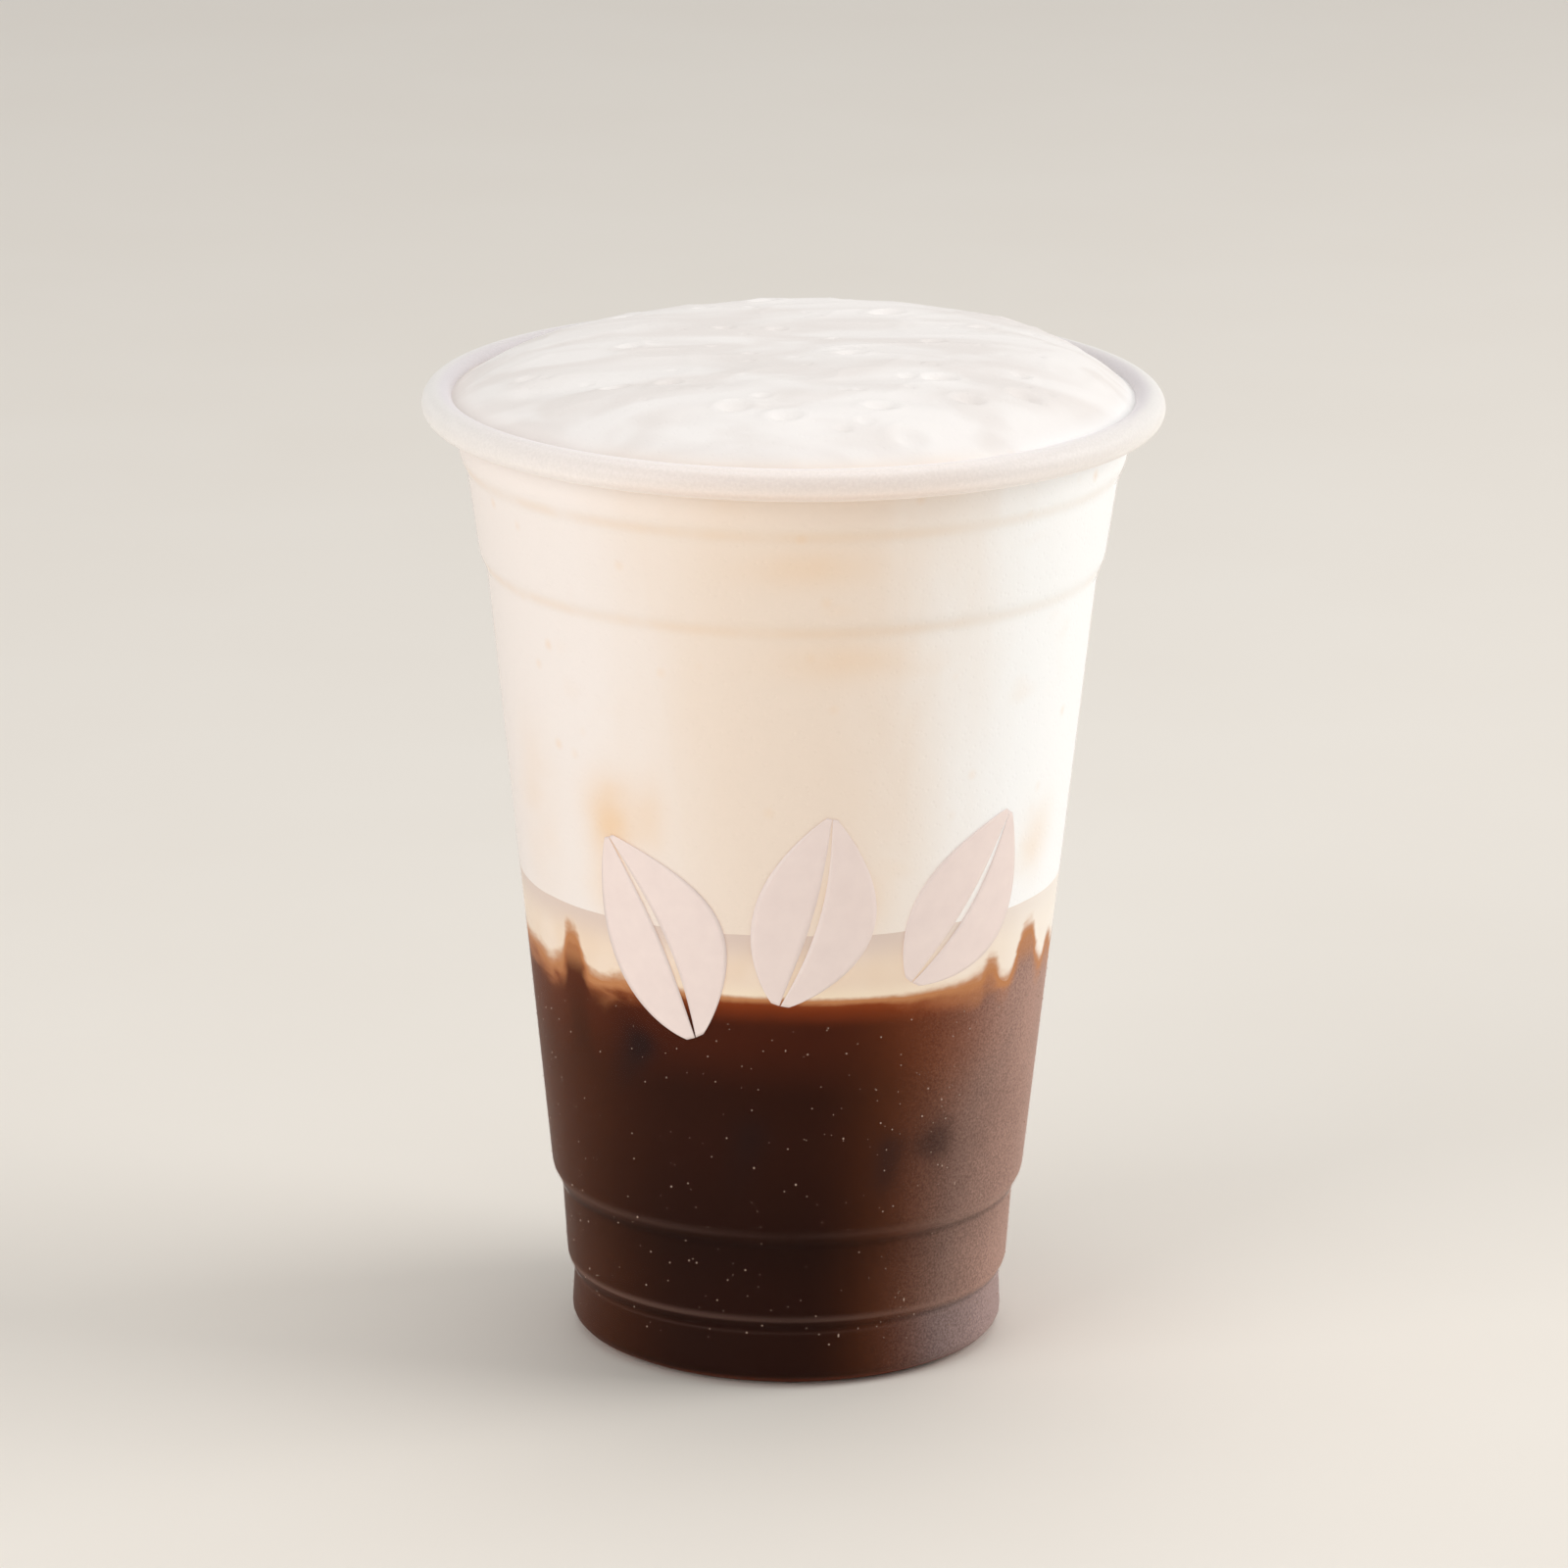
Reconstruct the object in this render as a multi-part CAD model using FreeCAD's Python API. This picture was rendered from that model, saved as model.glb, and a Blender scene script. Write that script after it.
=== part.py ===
import FreeCAD, Part
import math
import os

# A layered iced latte in a disposable clear plastic cup, in millimetres.
# The cup stands on the plane z = 0 and turns about the Z axis; -Y is its front.
# Heights called "up" are measured from the table, those called "down" from the lip's crest.
# Lower radii are measured from the foot's outside, upper ones from the lip's outside.

# Overall sizes
cupHeight = 125.7            # table to the crest of the rolled lip
lipRadius = 47.5             # outside of the rolled lip
footRadius = 28.3            # outside of the foot
wallThickness = 0.6          # formed sheet, the same everywhere

# Rolled lip
lipRollRadius = 2.03         # outside of the roll's round section
lipCurlEnd = -130.0          # where the roll's edge stops, in degrees: 0 is outwards, 90 is up

# Collar, neck and upper step, as heights down from the crest and radii in from the lip
collarTopDown = 5.5
collarTopIn = 4.6
collarBottomDown = 8.5
collarBottomIn = 4.8
neckTopDown = 10.7
neckTopIn = 5.8
neckBottomDown = 21.2
neckBottomIn = 7.33
wallTopDown = 23.5
wallTopIn = 8.3

# Foot of the long wall and the two stacking rings, as heights up and radii out from the foot
wallBottomUp = 21.9
wallBottomOut = 2.47
ringTopUp = 19.6
ringTopOut = 1.2
ringBottomUp = 9.4
ringBottomOut = 0.49
footTopUp = 7.9
footTopIn = 0.43

# Base: a narrow ring stands on the table, and the panel inside it is raised
footRound = 2.6              # round at the foot's outer edge
standRingWidth = 1.6         # ring that touches the table
panelUp = 2.4                # underside of the raised panel
panelStep = 1.3              # how far the panel's edge lies inside the standing ring
panelRound = 0.9             # rounds where the panel is raised

# Rounds of the steps, measured on the sheet's outside
bulgeRound = 3.0             # outward corners
creaseRound = 0.25           # tight inward corners

# Fill: dark coffee, a pale milk layer, and foam that swells above the lip
coffeeUp = 53.8              # mean level of the coffee
coffeeTilt = -0.014          # rise of that level for each millimetre towards +X
coffeeRipple = 0.35          # height of its long waves
milkDepth = 9.0              # mean depth of the milk layer
milkRipple = 0.2             # height of the waves under the foam
rippleLength = 34.0          # length of all these waves
foamEdgeDown = 1.2           # the foam's edge on the lip, down from the crest
foamSwell = 7.2              # height of the dome above its edge
foamFullness = 5.5           # power of the dome's outline: 2 is a bowl's curve, more is flatter on top
foamLean = 0.19              # share by which the dome is fuller towards +X

# Sheets that divide the fill
sheetMargin = 3.0            # how far a sheet reaches past the lip
sheetPoints = 33             # points along each side of a sheet


def along(start, direction, distance):
    return (start[0] + direction[0] * distance, start[1] + direction[1] * distance)


def unit(across, rise):
    length = math.hypot(across, rise)
    return (across / length, rise / length)


def headings(corners):
    """Directions in which an outline arrives at and leaves each of its corners."""
    legs = [unit(end[0] - start[0], end[1] - start[1]) for start, end in zip(corners, corners[1:])]
    return list(zip(legs[:1] + legs, legs + legs[-1:]))


def turnBetween(arriving, leaving):
    """Angle in radians, positive where the sheet bulges outwards."""
    cross = arriving[0] * leaving[1] - arriving[1] * leaving[0]
    dot = arriving[0] * leaving[0] + arriving[1] * leaving[1]
    return math.atan2(cross, dot)


def inSpace(point):
    """A point of the section, given as radius and height, in the plane x = 0."""
    return FreeCAD.Vector(0, point[0], point[1])


def line(start, end):
    return Part.LineSegment(inSpace(start), inSpace(end)).toShape()


def arc(start, middle, end):
    return Part.Arc(inSpace(start), inSpace(middle), inSpace(end)).toShape()


def roundedEdges(corners):
    """Straight edges through the corners, joined by tangent arcs."""
    edges = []
    start = corners[0][:2]
    inner = list(zip(corners, headings(corners)))[1:-1]
    for (radius, height, rounding), (arriving, leaving) in inner:
        turn = turnBetween(arriving, leaving)
        trim = rounding * math.tan(abs(turn) / 2)
        bulge = rounding * (1 / math.cos(turn / 2) - 1)
        towardsCentre = unit(leaving[0] - arriving[0], leaving[1] - arriving[1])
        entry = along((radius, height), arriving, -trim)
        leave = along((radius, height), leaving, trim)
        edges.append(line(start, entry))
        edges.append(arc(entry, along((radius, height), towardsCentre, bulge), leave))
        start = leave
    edges.append(line(start, corners[-1][:2]))
    return edges


def onRoll(radius, angle):
    """A point at this radius and angle, in degrees, about the centre of the lip's roll."""
    turn = math.radians(angle)
    centre = (lipRadius - lipRollRadius, cupHeight - lipRollRadius)
    return along(centre, (math.cos(turn), math.sin(turn)), radius)


def rollArc(radius, fromAngle, toAngle):
    middleAngle = (fromAngle + toAngle) / 2
    return arc(onRoll(radius, fromAngle), onRoll(radius, middleAngle), onRoll(radius, toAngle))


def flareAngle():
    """Where the flare above the collar runs into the roll, in degrees about the roll's centre."""
    across = collarTopIn - lipRollRadius
    rise = collarTopDown - lipRollRadius
    hollowRadius = lipRollRadius - wallThickness
    slope = math.atan2(rise, across) + math.asin(hollowRadius / math.hypot(across, rise))
    return math.degrees(slope) + 90.0


def outsideCorners():
    """Outside of the sheet from the axis to the roll, as radius, height and round."""
    standOuter = footRadius - footRound
    standInner = standOuter - standRingWidth
    flareEnd = onRoll(lipRollRadius - wallThickness, flareAngle())
    return [
        (0.0, panelUp, 0.0),
        (standInner - panelStep, panelUp, panelRound),
        (standInner, 0.0, panelRound),
        (footRadius, 0.0, footRound),
        (footRadius - footTopIn, footTopUp, creaseRound),
        (footRadius + ringBottomOut, ringBottomUp, bulgeRound),
        (footRadius + ringTopOut, ringTopUp, creaseRound),
        (footRadius + wallBottomOut, wallBottomUp, bulgeRound),
        (lipRadius - wallTopIn, cupHeight - wallTopDown, creaseRound),
        (lipRadius - neckBottomIn, cupHeight - neckBottomDown, bulgeRound),
        (lipRadius - neckTopIn, cupHeight - neckTopDown, creaseRound),
        (lipRadius - collarBottomIn, cupHeight - collarBottomDown, bulgeRound),
        (lipRadius - collarTopIn, cupHeight - collarTopDown, bulgeRound),
        (flareEnd[0], flareEnd[1], 0.0),
    ]


def insideCorners():
    """The same corners moved in by the sheet's thickness, with rounds about the same centres."""
    outside = outsideCorners()
    inside = []
    for (radius, height, rounding), (arriving, leaving) in zip(outside, headings(outside)):
        turn = turnBetween(arriving, leaving)
        inwards = unit(-arriving[1] - leaving[1], arriving[0] + leaving[0])
        moved = along((radius, height), inwards, wallThickness / math.cos(turn / 2))
        insideRound = rounding - math.copysign(wallThickness, turn) if rounding else 0.0
        inside.append((moved[0], moved[1], insideRound))
    return inside


def turned(edges):
    """Solid of revolution about the Z axis from the closed outline that these edges make."""
    outline = Part.Wire(Part.__sortEdges__(edges))
    return Part.Face(outline).revolve(FreeCAD.Vector(0, 0, 0), FreeCAD.Vector(0, 0, 1), 360)


def makeCup():
    """Formed sheet with a raised base, stacking rings and steps, ending in a hollow rolled lip."""
    outside = outsideCorners()
    inside = insideCorners()
    hollowRadius = lipRollRadius - wallThickness
    edges = roundedEdges(outside) + roundedEdges(inside)
    edges.append(rollArc(hollowRadius, flareAngle(), lipCurlEnd))
    edges.append(rollArc(lipRollRadius, flareAngle(), lipCurlEnd))
    edges.append(line(onRoll(hollowRadius, lipCurlEnd), onRoll(lipRollRadius, lipCurlEnd)))
    edges.append(line(inside[0][:2], outside[0][:2]))
    return turned(edges)


def makeHollow():
    """All that the cup encloses, and the space above it that the foam can swell into."""
    inside = insideCorners()
    crest = onRoll(lipRollRadius, 90.0)
    top = cupHeight + 2 * foamSwell
    edges = roundedEdges(inside)
    edges.append(rollArc(lipRollRadius, flareAngle(), 90.0))
    edges.append(line(crest, (crest[0], top)))
    edges.append(line((crest[0], top), (0.0, top)))
    edges.append(line((0.0, top), inside[0][:2]))
    return turned(edges)


def ripple(x, y):
    """Long uneven waves between -1 and 1."""
    sideways = 2 * math.pi * x / rippleLength
    forwards = 2 * math.pi * y / (1.3 * rippleLength)
    return math.sin(sideways + 0.6) * math.cos(forwards + 0.4 * math.sin(sideways))


def coffeeHeight(x, y):
    return coffeeUp + coffeeTilt * x + coffeeRipple * ripple(x, y)


def milkHeight(x, y):
    return coffeeUp + milkDepth + milkRipple * ripple(y, x)


def foamHeight(x, y):
    """A dome that is flat on top and steep at the lip, fuller on one side."""
    edgeRadius = lipRadius - 2 * lipRollRadius
    fullness = 1 - (math.hypot(x, y) / edgeRadius) ** foamFullness
    return cupHeight - foamEdgeDown + foamSwell * fullness * (1 + foamLean * x / edgeRadius)


def spaceBelow(heightAt):
    """Solid of everything in the cup below a wavy sheet."""
    reach = lipRadius + sheetMargin
    steps = [reach * (2 * step / (sheetPoints - 1) - 1) for step in range(sheetPoints)]
    sheet = Part.BSplineSurface()
    sheet.interpolate([[FreeCAD.Vector(x, y, heightAt(x, y)) for y in steps] for x in steps])
    return sheet.toShape().extrude(FreeCAD.Vector(0, 0, -2 * cupHeight))


def makeFill():
    """The layers, each face to face with the cup and with the layer below it."""
    hollow = makeHollow()
    belowCoffee = spaceBelow(coffeeHeight)
    belowMilk = spaceBelow(milkHeight)
    belowFoam = spaceBelow(foamHeight)
    return {
        "coffee": hollow.common(belowCoffee),
        "milk": hollow.common(belowMilk).cut(belowCoffee),
        "foam": hollow.common(belowFoam).cut(belowMilk),
    }


def main():
    os.makedirs("parts", exist_ok=True)
    nodes = {"cup": makeCup()}
    nodes.update(makeFill())
    for name, shape in nodes.items():
        shape.exportStep(f"parts/{name}.step")
        print(name, "solids", len(shape.Solids), "valid", shape.isValid(), "ml", round(shape.Volume / 1000, 2))


main()
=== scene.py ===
import math
import bpy
import numpy as np
from mathutils import Matrix, Vector


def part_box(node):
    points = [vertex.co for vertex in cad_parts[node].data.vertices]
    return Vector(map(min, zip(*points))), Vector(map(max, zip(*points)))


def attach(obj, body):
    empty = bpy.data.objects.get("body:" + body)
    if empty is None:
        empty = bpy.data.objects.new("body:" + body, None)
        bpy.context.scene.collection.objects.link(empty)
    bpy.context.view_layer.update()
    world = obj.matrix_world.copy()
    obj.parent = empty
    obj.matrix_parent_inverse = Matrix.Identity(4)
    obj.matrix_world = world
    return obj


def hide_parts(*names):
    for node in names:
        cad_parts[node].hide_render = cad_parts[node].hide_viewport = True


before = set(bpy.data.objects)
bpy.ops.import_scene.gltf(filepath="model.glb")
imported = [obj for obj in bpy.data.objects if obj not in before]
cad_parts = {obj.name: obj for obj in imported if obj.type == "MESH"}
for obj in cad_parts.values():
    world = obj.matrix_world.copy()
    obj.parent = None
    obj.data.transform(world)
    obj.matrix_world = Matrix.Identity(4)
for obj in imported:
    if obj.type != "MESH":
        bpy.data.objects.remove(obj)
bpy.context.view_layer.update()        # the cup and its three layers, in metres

mm = 0.001
print("frame loaded:", ", ".join(sorted(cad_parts)))


class Flow:
    # one number, colour or vector on its way through a node tree; arithmetic on it adds Math nodes
    def __init__(self, tree, socket):
        self.tree = tree
        self.socket = socket

    def maths(self, operation, *values):
        return self.tree.node("ShaderNodeMath", {"operation": operation}, dict(enumerate(values)))

    def __add__(self, other):
        return self.maths("ADD", self, other)

    def __sub__(self, other):
        return self.maths("SUBTRACT", self, other)

    def __rsub__(self, other):
        return self.maths("SUBTRACT", other, self)

    def __mul__(self, other):
        return self.maths("MULTIPLY", self, other)

    def __truediv__(self, other):
        return self.maths("DIVIDE", self, other)

    def __rtruediv__(self, other):
        return self.maths("DIVIDE", other, self)

    def __pow__(self, other):
        return self.maths("POWER", self, other)

    __radd__ = __add__

    def atLeast(self, least):
        return self.maths("MAXIMUM", self, least)

    def ramp(self, low, high, fromValue=0.0, toValue=1.0):
        # smooth step between two values of this number, then held
        limits = {"From Min": low, "From Max": high, "To Min": fromValue, "To Max": toValue}
        return self.tree.node("ShaderNodeMapRange", {"interpolation_type": "SMOOTHSTEP"},
                              {"Value": self, **limits})

    def band(self, low, middle, high):
        # nothing outside low and high, rising to one at the middle
        return self.ramp(low, middle) * self.ramp(middle, high, 1.0, 0.0)


class Tree:
    # a node tree in the making: node() adds any node, with its settings first and then its values or links
    def __init__(self, tree):
        self.tree = tree

    def feed(self, socket, value):
        if isinstance(value, Flow):
            self.tree.links.new(value.socket, socket)
        else:
            socket.default_value = value

    def node(self, kind, settings=None, values=None, output=0):
        made = self.tree.nodes.new(kind)
        for key, value in (settings or {}).items():
            setattr(made, key, value)
        for key, value in (values or {}).items():
            self.feed(made.inputs[key], value)
        return Flow(self, made.outputs[output] if made.outputs else None)


class Finish(Tree):
    # a material: cover() fills the Principled shader's own sockets
    def __init__(self, name):
        self.material = bpy.data.materials.new(name)
        self.material.use_nodes = True
        super().__init__(self.material.node_tree)
        self.shader = self.tree.nodes["Principled BSDF"]
        self.place = self.node("ShaderNodeTexCoord", output="Object")

    def cover(self, values):
        for key, value in values.items():
            self.feed(self.shader.inputs[key], value)

    def attribute(self, name):
        return self.node("ShaderNodeAttribute", {"attribute_name": name}, output="Fac")

    def height(self):
        return self.node("ShaderNodeSeparateXYZ", None, {0: self.place}, 2) * (1 / mm)

    def stretched(self, across, deep, up):
        # object coordinates with each axis scaled by one over the size of a feature in millimetres
        scale = (1 / (across * mm), 1 / (deep * mm), 1 / (up * mm))
        return self.node("ShaderNodeMapping", None, {"Vector": self.place, "Scale": scale})

    def noise(self, where, detail=2.0, roughness=0.5, twist=0.0):
        values = {"Vector": where, "Scale": 1.0, "Detail": detail, "Roughness": roughness,
                  "Distortion": twist}
        return self.node("ShaderNodeTexNoise", None, values)

    def cells(self, where):
        # distance from scattered points, one for each cell
        return self.node("ShaderNodeTexVoronoi", None, {"Vector": where, "Scale": 1.0, "Randomness": 1.0})

    def mixed(self, first, second, share):
        # two colours, the second by this share
        return self.node("ShaderNodeMix", {"data_type": "RGBA"}, {"Factor": share, 6: first, 7: second}, 2)

    def bump(self, height, depth, under=None):
        # a bump of this depth in millimetres, on top of another bump if given
        values = {"Height": height, "Strength": 1.0, "Distance": depth * mm}
        if under is not None:
            values["Normal"] = under
        return self.node("ShaderNodeBump", None, values)


def tone(red, green, blue):
    # a colour written as it looks on a screen, from 0 to 255, as linear light
    parts = [value / 255 for value in (red, green, blue)]
    linear = [part / 12.92 if part < 0.04045 else ((part + 0.055) / 1.055) ** 2.4 for part in parts]
    return (*linear, 1.0)


def facesOf(node):
    # corner positions, normals and outward lean of a CAD node's triangles
    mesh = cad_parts[node].data
    places = np.empty(len(mesh.vertices) * 3)
    mesh.vertices.foreach_get("co", places)
    corners = np.empty(len(mesh.loops), np.int32)
    mesh.loops.foreach_get("vertex_index", corners)
    points = places.reshape(-1, 3)[corners].reshape(-1, 3, 3)
    normals = np.cross(points[:, 1] - points[:, 0], points[:, 2] - points[:, 0])
    normals /= np.maximum(np.linalg.norm(normals, axis=1, keepdims=True), 1e-15)
    middle = points.mean(axis=1)
    radius = np.maximum(np.hypot(middle[:, 0], middle[:, 1]), 1e-9)
    outward = (middle[:, :2] * normals[:, :2]).sum(axis=1) / radius
    return points, normals, outward


lineStep = 0.02 * mm         # spacing of the outlines read from the CAD pieces
lipWidth = 3.2 * mm          # how far in from its widest the cup's wall counts as rolled lip
footHeight = 5 * mm          # how far up faces that look down belong to the foot
sharpFrom = math.radians(50)     # edges that turn more than this stay sharp


def lineOf(nodes, chosen, byHeight=True):
    # the outline of the chosen faces, as radius against height, or height against radius
    radii = []
    heights = []
    for node in nodes:
        points, normals, outward = facesOf(node)
        corners = points[chosen(points, normals, outward)].reshape(-1, 3)
        radii.append(np.hypot(corners[:, 0], corners[:, 1]))
        heights.append(corners[:, 2])
    radii = np.concatenate(radii)
    heights = np.concatenate(heights)
    key, value = (heights, radii) if byHeight else (radii, heights)
    steps, index = np.unique(np.round(key / lineStep), return_inverse=True)
    total = np.bincount(index, value)
    count = np.bincount(index)
    return steps * lineStep, total / count


def isInside(points, normals, outward):
    # faces of the layers that lie against the cup's wall
    return (outward > 0.6) & (normals[:, 2] < 0.35)


insideHeights, insideRadii = lineOf(("coffee", "milk", "foam"), isInside)


def insideRadius(height):
    return np.interp(height, insideHeights, insideRadii)


def isOutside(points, normals, outward):
    # faces of the cup's outer wall up to where it runs into the rolled lip
    radii = np.hypot(points[:, :, 0], points[:, :, 1])
    beyond = radii.mean(axis=1) > insideRadius(points[:, :, 2].mean(axis=1))
    return (outward > 0.7) & beyond & (radii.max(axis=1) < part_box("cup")[1].x - lipWidth)


def isUnder(points, normals, outward):
    # faces near the table that look down
    return (normals[:, 2] < -0.5) & (points[:, :, 2].mean(axis=1) < footHeight)


outsideHeights, outsideRadii = lineOf(["cup"], isOutside)
undersideRadii, undersideHeights = lineOf(["cup"], isUnder, False)
bottomRadii, bottomHeights = lineOf(["coffee"], isUnder, False)


def outsideRadius(height):
    return np.interp(height, outsideHeights, outsideRadii)


def bottomHeight(radius):
    return np.interp(radius, bottomRadii, bottomHeights)


def softNoise(across, deep, size, seed):
    # smooth random values between -1 and 1: a seeded lattice of this spacing, blended by smooth steps
    knots = 64
    lattice = np.random.default_rng(seed).uniform(-1, 1, (knots, knots))
    column = across / size + knots / 2
    row = deep / size + knots / 2
    left = np.floor(column).astype(int)
    near = np.floor(row).astype(int)
    right = column - left
    far = row - near
    right = right * right * (3 - 2 * right)
    far = far * far * (3 - 2 * far)
    left = left % knots
    near = near % knots
    nextLeft = (left + 1) % knots
    nextNear = (near + 1) % knots
    low = lattice[near, left] * (1 - right) + lattice[near, nextLeft] * right
    high = lattice[nextNear, left] * (1 - right) + lattice[nextNear, nextLeft] * right
    return low * (1 - far) + high * far


def makeMesh(name, points, quads, corners=None, values=None):
    # a smooth mesh from arrays of points, four-sided faces, three-sided faces and values for each point
    mesh = bpy.data.meshes.new(name)
    triangles = np.empty((0, 3), np.int32) if corners is None else corners
    loops = np.concatenate([quads.ravel(), triangles.ravel()]).astype(np.int32)
    sizes = np.concatenate([np.full(len(quads), 4), np.full(len(triangles), 3)]).astype(np.int32)
    mesh.vertices.add(len(points))
    mesh.vertices.foreach_set("co", points.astype(np.float32).ravel())
    mesh.loops.add(len(loops))
    mesh.loops.foreach_set("vertex_index", loops)
    mesh.polygons.add(len(sizes))
    mesh.polygons.foreach_set("loop_start", (np.cumsum(sizes) - sizes).astype(np.int32))
    mesh.polygons.foreach_set("use_smooth", np.ones(len(sizes), bool))
    mesh.update(calc_edges=True)
    mesh.validate()
    mesh.set_sharp_from_angle(angle=sharpFrom)
    for key, value in (values or {}).items():
        layer = mesh.attributes.new(key, "FLOAT", "POINT")
        layer.data.foreach_set("value", value.astype(np.float32).ravel())
    piece = bpy.data.objects.new(name, mesh)
    bpy.context.scene.collection.objects.link(piece)
    return piece


def place(piece, finish, replaced=()):
    piece.data.materials.clear()
    piece.data.materials.append(finish.material)
    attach(piece, "root")
    if replaced:
        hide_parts(*replaced)
    return piece


def around(columns):
    # angles about the axis, 0 at the front and growing towards +X
    return np.linspace(0, 2 * math.pi, columns, endpoint=False)[None, :]


def ringFaces(rows, columns):
    # four-sided faces between rings of points, and three-sided ones to a pole before the first ring, which is
    # point 0, and to another after the last
    here = np.arange(columns)
    beside = (here + 1) % columns
    low = 1 + (np.arange(rows - 1) * columns)[:, None]
    quads = np.stack([low + here, low + beside, low + columns + beside, low + columns + here], axis=-1)
    last = 1 + (rows - 1) * columns
    pole = last + columns
    fans = np.concatenate([np.stack([1 + beside, 1 + here, np.zeros_like(here)], axis=-1),
                           np.stack([last + here, last + beside, np.full_like(here, pole)], axis=-1)])
    return quads.reshape(-1, 4), fans


def turnedGrid(name, radii, heights, values):
    # a closed surface about the axis from rows of radius and height, with a pole at either end
    angle = around(radii.shape[1])
    rings = np.stack([radii * np.sin(angle), -radii * np.cos(angle), heights], axis=-1).reshape(-1, 3)
    points = np.concatenate([[[0, 0, heights[0].mean()]], rings, [[0, 0, heights[-1].mean()]]])
    padded = {}
    for key, value in values.items():
        full = np.broadcast_to(value, radii.shape)
        padded[key] = np.concatenate([[full[0].mean()], full.ravel(), [full[-1].mean()]])
    return makeMesh(name, points, *ringFaces(*radii.shape), padded)


def angleFrom(angle, degrees):
    # signed distance along the turn from a direction in degrees, in degrees
    return (np.degrees(angle) - degrees + 180) % 360 - 180


# the line where milk meets coffee, and the level under the foam
layerLines = {
    "coffeeTilt": -0.55,     # mm that the coffee falls from the left of the cup to its right, about the mean
    "coffeeWaves": 0.22,     # mm of slow unevenness along the line
    "foamWaves": 0.16,
    # tongues of coffee that rise along the wall: direction in degrees, half width and rise in mm
    "tongues": [(-53.5, 2.1, 4.4), (62.5, 2.7, 4.9), (49, 1.4, 1.5), (77, 1.6, 1.4), (116, 4.4, 2.3),
                (143, 2.8, 1.3), (186, 4.0, 2.4), (229, 6.0, 1.5), (253, 2.8, 2.9)],
    "tongueBluntness": 3.6,  # 2 is a soft bell, more is flatter with steeper sides
    # drips of milk that hang into the coffee
    "drips": [(-64, 2.2, 1.3), (55, 1.6, 0.9), (72, 1.2, 0.9), (-45, 2.4, 0.5), (102, 2.0, 1.5),
              (160, 4.0, 1.1), (208, 3.6, 1.2), (243, 2.2, 1.0)],
    "dripBluntness": 2.0,
}
coffeeMean = (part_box("coffee")[1].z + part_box("milk")[0].z) / 2
foamMean = (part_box("milk")[1].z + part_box("foam")[0].z) / 2
wallAtCoffee = float(insideRadius(coffeeMean))
wallReach = 0.5 * mm         # how far the drink reaches into the cup's wall


def slowWaves(angle, seed):
    return softNoise(np.sin(angle) * 3, np.cos(angle) * 3, 1.0, seed) + 0.4 * softNoise(
        np.sin(angle) * 11, np.cos(angle) * 11, 1.0, seed + 1)


def coffeeLine(angle):
    # height of the coffee along the wall: a tilted level, slow waves, blunt tongues up and round drips down
    rise = layerLines["coffeeTilt"] * np.sin(angle) + layerLines["coffeeWaves"] * slowWaves(angle, 3)
    for turned, width, height in layerLines["tongues"]:
        away = np.radians(angleFrom(angle, turned)) * wallAtCoffee / mm
        rise = rise + height * np.exp(-np.abs(away / width) ** layerLines["tongueBluntness"])
    for turned, width, depth in layerLines["drips"]:
        away = np.radians(angleFrom(angle, turned)) * wallAtCoffee / mm
        rise = rise - depth * np.exp(-np.abs(away / width) ** layerLines["dripBluntness"])
    return coffeeMean + rise * mm


def foamLine(angle):
    return foamMean + layerLines["foamWaves"] * slowWaves(angle, 9) * mm


def discRows(count, edge, inner, outwards):
    # a wavy disc inside the wall: heights blend from the mean at the axis to the wall's line near the edge,
    # and its rings lie a little closer together there
    share = np.linspace(0, 1, count + 2)[1:-1, None] ** 0.8
    if not outwards:
        share = share[::-1]
    radii = share * (insideRadius(edge) + wallReach)
    heights = inner + (edge - inner) * share ** 8
    return radii, heights


def wallRows(low, high, spacing, reach):
    # rows up the wall: level in the middle, following the wavy ends within this reach of them
    lowMean = low.mean()
    highMean = high.mean()
    count = max(int(round((highMean - lowMean) / spacing)), 2) + 1
    level = np.linspace(lowMean, highMean, count)[:, None]
    nearLow = np.clip(1 - (level - lowMean) / reach, 0, 1)
    nearHigh = np.clip(1 - (highMean - level) / reach, 0, 1)
    heights = level + (low - lowMean) * nearLow ** 1.3 + (high - highMean) * nearHigh ** 1.3
    return insideRadius(heights) + wallReach, heights


def stacked(*parts):
    radii, heights = zip(*parts)
    return np.concatenate(radii), np.concatenate(heights)


# a milky film on the wall, partly painted light where the lamp on the +X side falls on it; for each side:
# strength, sine of the angle where it starts, how late it thickens
litFilmForm = {"right": (1.0, 0.05, 2.1), "left": (0.2, 0.35, 2.5)}
# how stirred the drink is: least, direction of the calm part in degrees, its half width and edge in radians
unrestForm = {"least": 0.12, "calmAt": 2, "calm": 0.3, "edge": 0.48}


def litFilmAt(angle):
    # share of the wall clouded by the film, which is partly painted light: most towards the lit +X side, a
    # little towards -X
    haze = 0
    for side, sine in (("right", np.sin(angle)), ("left", -np.sin(angle))):
        strength, start, lateness = litFilmForm[side]
        haze = haze + strength * np.clip((sine - start) / (1 - start), 0, 1) ** lateness
    return haze


def unrestAt(angle):
    # how stirred the line between milk and coffee is: calm at the front, most at the sides
    form = unrestForm
    away = np.abs(np.radians(angleFrom(angle, form["calmAt"]))) - form["calm"]
    return form["least"] + (1 - form["least"]) * np.clip(away / form["edge"], 0, 1)


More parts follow.
